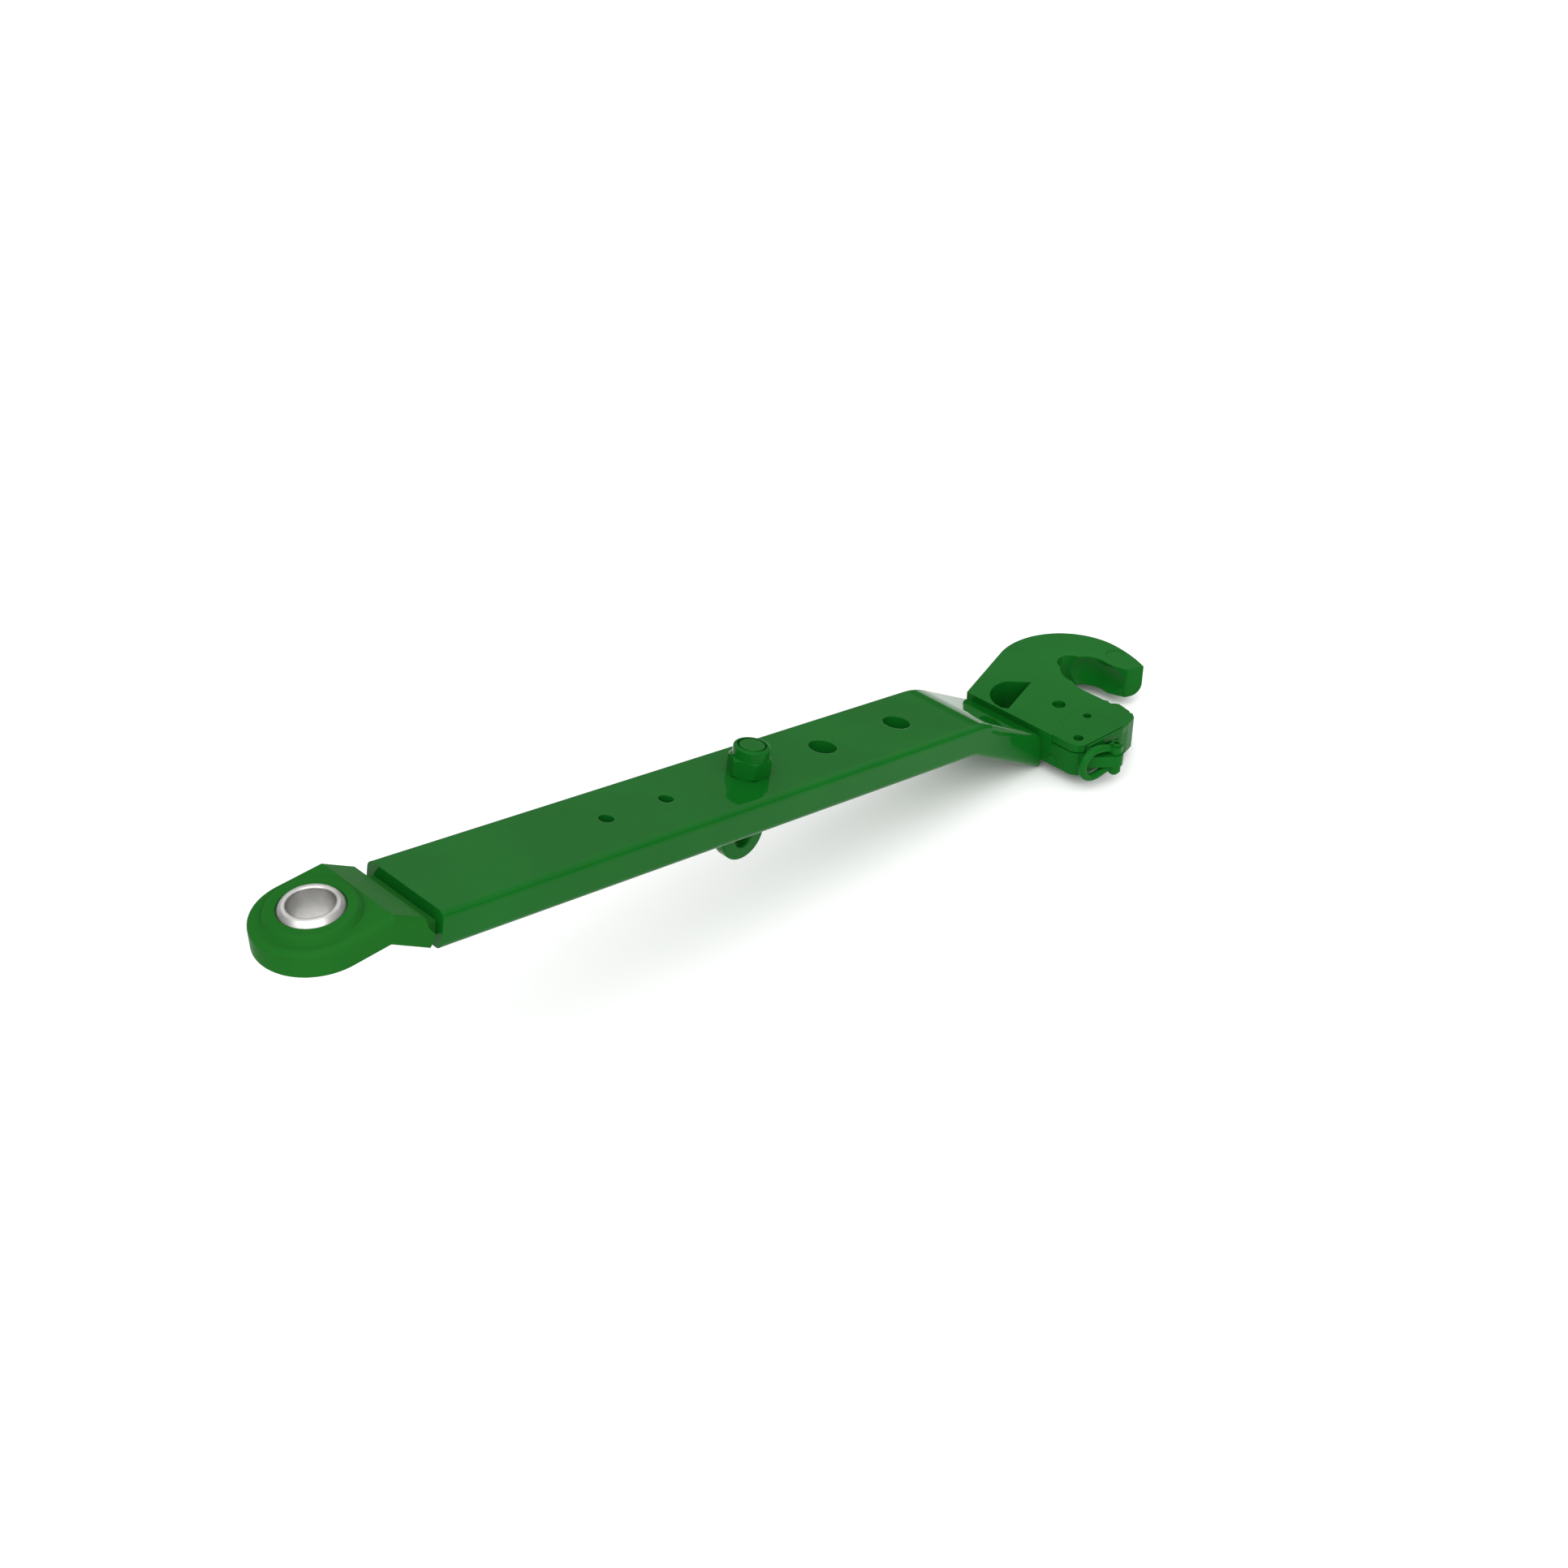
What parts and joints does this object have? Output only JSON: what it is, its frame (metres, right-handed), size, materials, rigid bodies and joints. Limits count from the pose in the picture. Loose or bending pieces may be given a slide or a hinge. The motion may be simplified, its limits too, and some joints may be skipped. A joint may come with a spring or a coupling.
{
  "type": "hitch lower link",
  "caption": "Bent flat-bar lower link with a swivel ball eye at one end, a latched claw hook at the other and a bolted side lug under the middle.",
  "frame": {"origin": "centre of the swivel ball in the eye", "axes": "+Z along the ball's bore, towards the side of the link that carries the lock nut; +X along the link from the eye to the claw hook; +Y towards the back of the hook"},
  "size_m": [1.0686, 0.2078, 0.2634],
  "materials": {
    "link_bar": "glossy green enamel",
    "ball_end_forging": "glossy green enamel",
    "swivel_ball": "turned bare steel",
    "hook_forging": "glossy green enamel",
    "latch_cover_plate": "glossy green enamel",
    "latch_pivot_pin": "green enamel over steel",
    "latch_stop_pin": "green enamel over steel",
    "cover_rivet": "green enamel over steel",
    "locking_latch": "glossy green enamel",
    "latch_spring": "spring steel",
    "release_shackle": "glossy green enamel",
    "shackle_pin": "glossy green enamel",
    "lug_bolt": "glossy green enamel",
    "lock_nut": "glossy green enamel",
    "lock_nut_insert": "nylon under green enamel"
  },
  "bodies": {
    "link": {"link_bar": "link_bar", "ball_end_forging": "ball_end_forging", "hook_forging": "hook_forging", "latch_cover_plate": "latch_cover_plate", "latch_pivot_pin": "latch_pivot_pin", "latch_stop_pin": "latch_stop_pin", "cover_rivet": "cover_rivet", "latch_spring": "latch_spring", "lug_bolt": "lug_bolt", "lock_nut": "lock_nut", "lock_nut_insert": "lock_nut_insert"},
    "ball": {"swivel_ball": "swivel_ball"},
    "latch": {"locking_latch": "locking_latch", "shackle_pin": "shackle_pin"},
    "shackle": {"release_shackle": "release_shackle"}
  },
  "joints": [
    {"name": "ball_swivel", "type": "hinge", "parent": "link", "child": "ball", "pos_m": [0, 0, 0], "axis": [0, 1, 0], "range_deg": [-15, 15]},
    {"name": "latch_pivot", "type": "hinge", "parent": "link", "child": "latch", "pos_m": [0.8842, -0.0307, -0.21075], "axis": [0, 0, 1], "range_deg": [-17.5, 0], "stiffness_Nm_per_rad": 2, "springref_deg": 20.05},
    {"name": "shackle_pivot", "type": "hinge", "parent": "latch", "child": "shackle", "pos_m": [0.8696, -0.1176, -0.21075], "axis": [0, 0, 1], "range_deg": [0, 150]}
  ]
}
